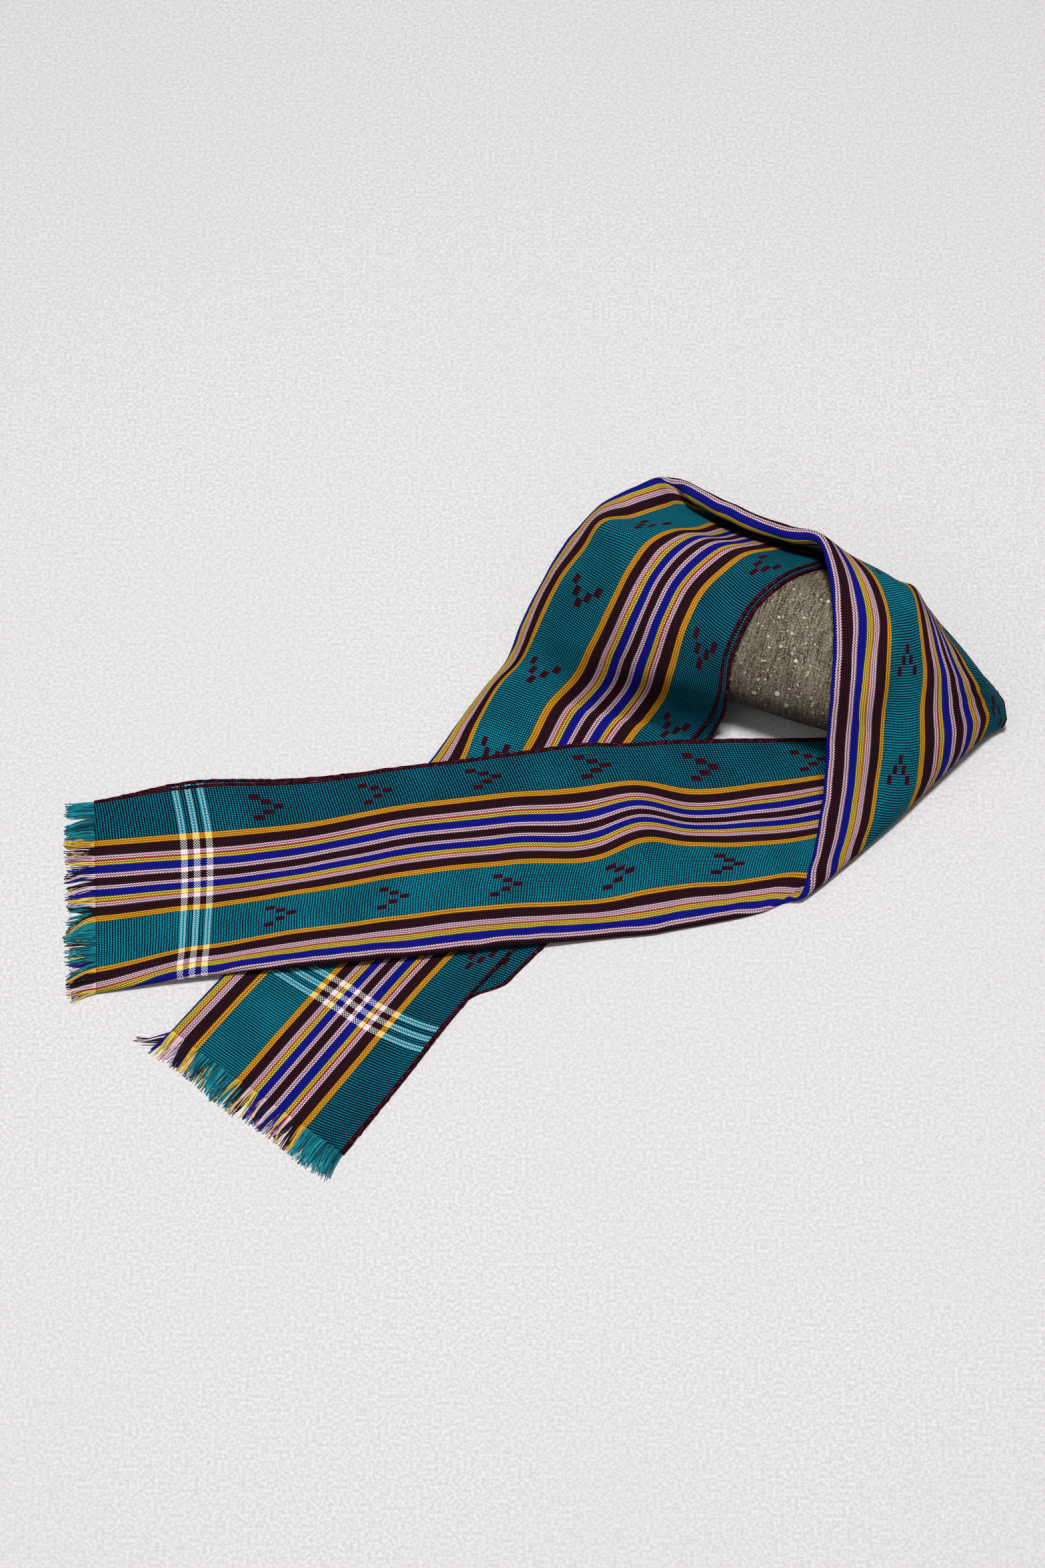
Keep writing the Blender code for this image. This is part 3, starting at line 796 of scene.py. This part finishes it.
def stripes(graph, across):
    """The stripes across the whole cloth: the two side groups are alike, and one lies over the fold."""
    last = 2 * BAND_WIDE - SIDE_FROM - SIDE_ACROSS
    repeat = last - SIDE_FROM
    in_side = ((across - SIDE_FROM) / repeat).part() * (repeat / SIDE_ACROSS)
    in_middle = (across - (BAND_WIDE - FOLD_ACROSS / 2)) / FOLD_ACROSS
    is_middle = in_middle.between(0.0, 1.0)
    is_side = (in_side < 1.0) * (across > SIDE_FROM) * (across < last + SIDE_ACROSS)
    colours = []
    for kind in ("colour", "gap"):
        side_colour, side_rows = graph.ramp(in_side, group_stops(SIDE_GROUP, kind))
        fold_colour, fold_rows = graph.ramp(in_middle, group_stops(FOLD_GROUP, kind))
        colours.append(graph.mix(is_middle, side_colour, fold_colour))
    rows = side_rows * (1 - is_middle) + fold_rows * is_middle
    side_stops, side_count = row_counts(SIDE_GROUP)
    fold_stops, fold_count = row_counts(FOLD_GROUP)
    in_rows = graph.ramp(in_side, side_stops, "LINEAR")[0] * side_count * (1 - is_middle)
    in_rows = in_rows + graph.ramp(in_middle, fold_stops, "LINEAR")[0] * fold_count * is_middle
    return Stripes(*colours, rows, in_rows, 1 - is_middle.most(is_side))


# A point of the weave: how far across, from the nearest selvedge, along and from the far end it is,
# its place for noises, the ribs' tremble there, and the ribs counted to it.
Weave = namedtuple("Weave", "across half along far spot tremble rib_at")


def cloth_place(graph):
    """How far along and across the cloth a point is, in millimetres."""
    place = graph.add("ShaderNodeUVMap")
    split = graph.add("ShaderNodeSeparateXYZ", None, Wire(graph, place.outputs[0]))
    return tuple(Wire(graph, split.outputs[k]) * PER_METRE for k in range(2))


def weave_place(graph, whole):
    """A point's place in the weave, with the weft bent back near the selvedges."""
    straight, across = cloth_place(graph)
    half = BAND_WIDE - abs(across - BAND_WIDE)
    bow = 1 - (half / BOW_WIDE).least(1.0)
    bend = straight.eased(BOW_FROM, BOW_TO) * (BOW_FAR - BOW_NEAR) + BOW_NEAR
    along = straight - bow * bow * bend
    spot = graph.node("ShaderNodeCombineXYZ", None, along, across, 0.0)
    wander = noise_wire(graph, spot, WANDER_SCALE) - 0.5
    tremble = noise_wire(graph, spot, TREMBLE_SCALE) - 0.5
    rib_at = (along + wander * WANDER + tremble * TREMBLE) / RIB_PITCH
    return Weave(across, half, along, whole - along, spot, tremble, rib_at)


def chevron_step(distance, inner_lane, rows):
    """How far a place is past the middle of the nearest chevron of its lane."""
    (outer_start, outer_pitch), (inner_start, inner_pitch) = rows
    start = inner_lane * (inner_start - outer_start) + outer_start
    pitch = inner_lane * (inner_pitch - outer_pitch) + outer_pitch
    return (((distance - start) / pitch + 0.5).part() - 0.5) * pitch


def striped_face(graph, weave, stripe):
    """The wavy rows of the stripes, each a chain of slanted turns, and how dark it is between."""
    row = (stripe.in_rows + weave.rib_at.wave() * 0.21 + weave.tremble * 0.15).off_middle()
    link = (weave.rib_at + stripe.in_rows * 0.2).off_middle().eased(0.28, 0.46)
    dark = row.eased(0.18, 0.36).most(link * 0.55)
    return graph.mix(dark * stripe.rows, stripe.colour, stripe.gap), dark


def teal_face(graph, weave):
    """Bright dashes on dull ribs, with near black between, and how far they stand out."""
    lower = weave.half.eased(BAND_WIDE * 0.3, BAND_WIDE * 0.5)
    tone = noise_wire(graph, weave.spot, 0.022, 1.0) * 0.10 + lower * 0.05
    rib = (weave.rib_at + weave.tremble * 0.1).off_middle()
    rib_face = 1 - (rib - tone).eased(0.10, 0.25)
    dash = (weave.across / DASH_PITCH + weave.tremble * 0.3).off_middle()
    dash_face = 1 - (dash - tone).eased(0.08, 0.27)
    fine = noise_wire(graph, weave.spot, 0.9, 1.0)
    teal = graph.mix(rib_face, TEAL_GAP, TEAL_DULL)
    teal = graph.mix(rib_face * dash_face * (fine * 0.6 + 0.7).least(1.0), teal, TEAL_DASH)
    return teal, rib_face * 0.7 + dash_face * 0.3


def chevrons(graph, weave):
    """1 on the brocaded chevrons of both lanes, and their colour."""
    outer_lane = (SELVEDGE_WIDE * DRAWN_IN + SIDE_FROM) / 2
    inner_lane = (SIDE_FROM + SIDE_ACROSS + BAND_WIDE - FOLD_ACROSS / 2) / 2
    off = abs(weave.half - outer_lane).least(abs(weave.half - inner_lane))
    is_inner = weave.half > SIDE_FROM + SIDE_ACROSS / 2
    slack = weave.along.eased(SLACK_FROM, SLACK_TO) * (1 - is_inner) * CHEVRON_SLACK
    on_near = chevron_step(weave.along - slack, is_inner, CHEVRONS_NEAR) * -1
    on_far = chevron_step(weave.far, is_inner, CHEVRONS_FAR)
    is_far = weave.along > CHEVRON_TURN
    step = on_near * (1 - is_far) + on_far * is_far
    blocks = [
        step.between(low, high) * off.between(inner, outer)
        for low, high, inner, outer in CHEVRON_STEPS
    ]
    plain_to = is_inner * (PLAIN_INNER - PLAIN_OUTER) + PLAIN_OUTER
    mask = reduce(Wire.most, blocks) * (weave.along > plain_to) * (weave.far > PLAIN_FAR)
    tick = (weave.rib_at + off * 0.12).off_middle().eased(0.15, 0.32)
    return mask, graph.mix(tick, MOTIF, TEAL_GAP)


def band_masks(distance, edge):
    """1 on the weft bands beyond an edge, and 1 on the two lines of each."""
    turn = distance - edge
    inside = (turn / BAND_PITCH).part() * BAND_PITCH
    mask = inside.between(0.0, BAND_LONG) * turn.between(0.0, BAND_PITCH * BANDS)
    return mask, mask * abs(inside - BAND_LONG / 2).between(DOTS_FROM, DOTS_TO)


def banded(graph, weave, stripe, cloth):
    """The cloth with white weft bands near both ends: plain on light yarns, dots on dark ones."""
    near = band_masks(weave.along, BAND_EDGE_NEAR)
    far = band_masks(weave.far, BAND_EDGE_FAR)
    band, lines = near[0].most(far[0]), near[1].most(far[1])
    dots = (weave.along / DOT_PITCH).wave() * (weave.across / DOT_PITCH).wave()
    light = (stripe.rows > LIGHT_ROWS) * (1 - stripe.field)
    plain = graph.mix(stripe.field, stripe.colour, TEAL_DASH)
    bright = graph.mix(light, plain, graph.node("ShaderNodeGamma", None, stripe.colour, 0.5))
    cloth = graph.mix(band * (1 - stripe.field * 0.45), cloth, bright)
    shown = stripe.field * lines + (1 - stripe.field) * band
    return graph.mix(dots.eased(0.0, 0.35) * shown * (0.9 - light * 0.75), cloth, WHITE)


def finish_cloth(whole):
    """The stripes, the teal fields with their chevrons, the white bands and a dark selvedge."""
    graph = Graph("handwoven cloth")
    weave = weave_place(graph, whole)
    stripe = stripes(graph, weave.across)
    striped, dark = striped_face(graph, weave, stripe)
    teal, teal_rise = teal_face(graph, weave)
    chevron, motif = chevrons(graph, weave)
    cloth = graph.mix(stripe.field, striped, graph.mix(chevron, teal, motif))
    cloth = banded(graph, weave, stripe, cloth)
    fleck = noise_wire(graph, weave.spot, 0.8, 1.0)
    selvedge = graph.mix(fleck.eased(0.45, 0.6), SELVEDGE_DARK, SELVEDGE_RED)
    cloth = graph.mix(weave.half < SELVEDGE_WIDE * DRAWN_IN, cloth, selvedge)
    shade = noise_wire(graph, weave.spot, 0.03) * 0.3 + 0.85
    raised = (1 - dark) * (1 - stripe.field) + teal_rise * stripe.field
    return graph.finish(graph.darkened(cloth, shade), 0.95, 0.06, (0.55, 0.0003), raised)


def finish_yarn():
    """Loose yarns in the colours of the stripes that they come from, with a fine dark twist."""
    graph = Graph("loose yarn")
    along, across = cloth_place(graph)
    stripe = stripes(graph, across)
    spot = graph.node("ShaderNodeCombineXYZ", None, along, across, 0.0)
    vary = noise_wire(graph, spot, 2.3, 0.0)
    teal = graph.mix(vary.eased(0.38, 0.62), *LOOSE_TEALS)
    bright = graph.node("ShaderNodeGamma", None, stripe.colour, 0.75)
    dulled = stripe.rows.between(DULL_ROWS, LIGHT_ROWS) * 0.6
    dull = graph.mix(dulled, stripe.colour, stripe.gap)
    strand = graph.mix(stripe.rows > LIGHT_ROWS, dull, bright)
    twist = noise_wire(graph, object_place(graph), 1400.0)
    yarn = graph.mix(stripe.field, strand, teal)
    yarn = graph.mix(twist.eased(0.35, 0.7) * 0.25, yarn, TWIST_DARK)
    return graph.finish(yarn, 0.92, 0.25, (0.5, 0.0003), twist)


def finish_cord():
    """Dark red and black weft turns, with a few pale ones."""
    graph = Graph("dark selvedge")
    body = object_place(graph)
    fleck = noise_wire(graph, body, 520.0, 2.0, 0.6)
    fine = noise_wire(graph, body, 1500.0)
    cord = graph.mix(fleck.eased(0.47, 0.60), SELVEDGE_DARK, SELVEDGE_RED)
    cord = graph.mix(fleck.eased(0.66, 0.72) * 0.5, cord, CORD_PALE)
    return graph.finish(cord, 0.95, 0.06, (0.7, 0.0004), fleck + fine * 0.5)


def specked(graph, turned, stone):
    """The stone with pale specks of several sizes, in ragged cells."""
    ragged = graph.node("ShaderNodeTexNoise", None, turned, None, 0.7, 3.0, out=1)
    ragged = graph.mix(1.6, turned, ragged, "ADD")
    for speck in SPECKS:
        cell = graph.add("ShaderNodeTexVoronoi", None, ragged, None, speck.scale)
        near, chance = Wire(graph, cell.outputs[0]), Wire(graph, cell.outputs[1])
        pick = graph.node("ShaderNodeSeparateColor", None, chance)
        shown = (pick < speck.share) * (near < pick * (speck.size / speck.share) + 0.03)
        stone = graph.mix(shown, stone, speck.tint)
    return stone


def finish_stone():
    """Dark turned stone with grooves round it, pale grains and specks, and painted shade that darkens it
    towards the table.
    """
    graph = Graph("dark speckled stone")
    turned = graph.node(
        "ShaderNodeMapping",
        {"vector_type": "POINT"},
        object_place(graph),
        None,
        (0.0, 0.0, -roller_turn()),
        (PER_METRE, PER_METRE, PER_METRE),
    )
    times = {"operation": "MULTIPLY"}
    stretched = graph.node("ShaderNodeVectorMath", times, turned, (1.0, 0.07, 0.07))
    groove = noise_wire(graph, stretched, 0.8, 5.0, 0.7)
    grain = noise_wire(graph, turned, 0.75, 6.0, 0.8)
    grit = noise_wire(graph, turned, 1.9, 2.0, 0.6)
    cloud = noise_wire(graph, turned, 0.03, 3.0)
    stone = graph.mix(groove.eased(0.42, 0.58), STONE_DARK, STONE_LIGHT)
    stone = graph.mix(grain.eased(0.48, 0.58) * 0.8, stone, STONE_GRAIN)
    stone = graph.mix(grit.eased(0.52, 0.42) * 0.85, stone, STONE_GRIT)
    stone = graph.mix(cloud.eased(0.45, 0.7) * 0.35, stone, STONE_CLOUD)
    stone = specked(graph, turned, stone)
    # Painted shade: the stone's colour is darkened by its height over the table, darkest low down.
    height = Wire(graph, graph.add("ShaderNodeSeparateXYZ", None, turned).outputs[2])
    painted_shading = (height + grain * PAINTED_SHADE_RAGGED).eased(PAINTED_SHADE_FROM, PAINTED_SHADE_TO)
    painted_shading = painted_shading * (1 - PAINTED_SHADE_LEAST) + PAINTED_SHADE_LEAST
    relief = groove * 0.8 + grain * 0.6 + grit * 0.3
    return graph.finish(graph.darkened(stone, painted_shading), 0.85, 0.4, (1.0, 0.0016), relief)


def finish_floor():
    """Pale linen, finely woven, with soft clouds."""
    graph = Graph("pale floor")
    body = object_place(graph)
    split = graph.add("ShaderNodeSeparateXYZ", None, body)
    drift = noise_wire(graph, body, 160.0) * 0.9
    over = (Wire(graph, split.outputs[0]) / LINEN_PITCH + drift).wave()
    under = (Wire(graph, split.outputs[1]) / LINEN_PITCH + drift).wave()
    slub = noise_wire(graph, body, 420.0)
    cloud = noise_wire(graph, body, 4.0, 3.0)
    linen = (over * under * 0.12 + slub).eased(0.25, 0.75)
    pale = graph.mix(linen, LINEN_DARK, LINEN_PALE)
    pale = graph.mix(cloud.eased(0.3, 0.7) * 0.3, pale, LINEN_CLOUD)
    return graph.finish(pale, 0.95, 0.05, (0.35, 0.0006), linen)


def make_floor():
    """A plain pale floor under the whole thing."""
    floor = bmesh.new()
    bmesh.ops.create_grid(floor, x_segments=1, y_segments=1, size=FLOOR_HALF)
    mesh = bpy.data.meshes.new("floor")
    floor.to_mesh(mesh)
    floor.free()
    mesh.materials.append(finish_floor())
    ground = bpy.data.objects.new("floor", mesh)
    bpy.context.scene.collection.objects.link(ground)


def make_lights():
    """A small key light high over the middle, a weak broad fill and a dim white world."""
    for name, spot, size, power in LIGHTS:
        light = bpy.data.lights.new(name, "AREA")
        light.size = size
        light.energy = power
        lamp = bpy.data.objects.new(name, light)
        lamp.location = spot
        lamp.rotation_euler = (-Vector(spot)).to_track_quat("-Z", "Y").to_euler()
        bpy.context.scene.collection.objects.link(lamp)
    world = bpy.data.worlds.new("studio")
    world.use_nodes = True
    world.node_tree.nodes["Background"].inputs[0].default_value = (1, 1, 1, 1)
    world.node_tree.nodes["Background"].inputs[1].default_value = WORLD_STRENGTH
    bpy.context.scene.world = world


def make_camera():
    """A long lens, looking down at the middle from in front."""
    bpy.context.scene.view_settings.view_transform = "Standard"
    lens = bpy.data.cameras.new("camera")
    lens.lens = LENS
    lens.sensor_width = SENSOR
    camera = bpy.data.objects.new("camera", lens)
    back = Vector((0, -math.cos(CAMERA_SLOPE), math.sin(CAMERA_SLOPE)))
    camera.location = Vector(placed((0.0, 0.0, 0.0))) + back * CAMERA_AWAY
    camera.rotation_euler = (math.pi / 2 - CAMERA_SLOPE, 0, 0)
    bpy.context.scene.collection.objects.link(camera)
    bpy.context.scene.camera = camera


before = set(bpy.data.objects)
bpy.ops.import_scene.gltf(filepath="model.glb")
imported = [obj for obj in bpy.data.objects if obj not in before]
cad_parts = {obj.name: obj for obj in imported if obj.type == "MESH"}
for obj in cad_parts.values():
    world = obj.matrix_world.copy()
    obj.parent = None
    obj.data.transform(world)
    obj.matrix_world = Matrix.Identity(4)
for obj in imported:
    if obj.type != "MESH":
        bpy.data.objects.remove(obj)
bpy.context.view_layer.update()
make_floor()
make_lights()
make_camera()
points, alongs, yarns = folded_band()
lengths = {"whole": float(alongs[-1].max())}
draped = draped_grid(points, alongs, yarns)
cloth = solidified(finished("folded_cloth", draped, finish_cloth(lengths["whole"])), CLOTH_THICK)
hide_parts("shawl")
yarn = finish_yarn()
for name, node, station, before, seed, flare in (
    ("near_fringe", "fringe_near", 0, 3, 4.0, FRINGE_FLARE),
    ("far_fringe", "fringe_far", -1, -4, 9.0, 0.0),
):
    away = unit((points[station] - points[before]).mean(axis=0) * (1, 1, 0))
    make_fringe(name, node, points[station], yarns[station], away, seed, flare, yarn)
cords = make_cords(points, finish_cord())
make_roller(finish_stone())
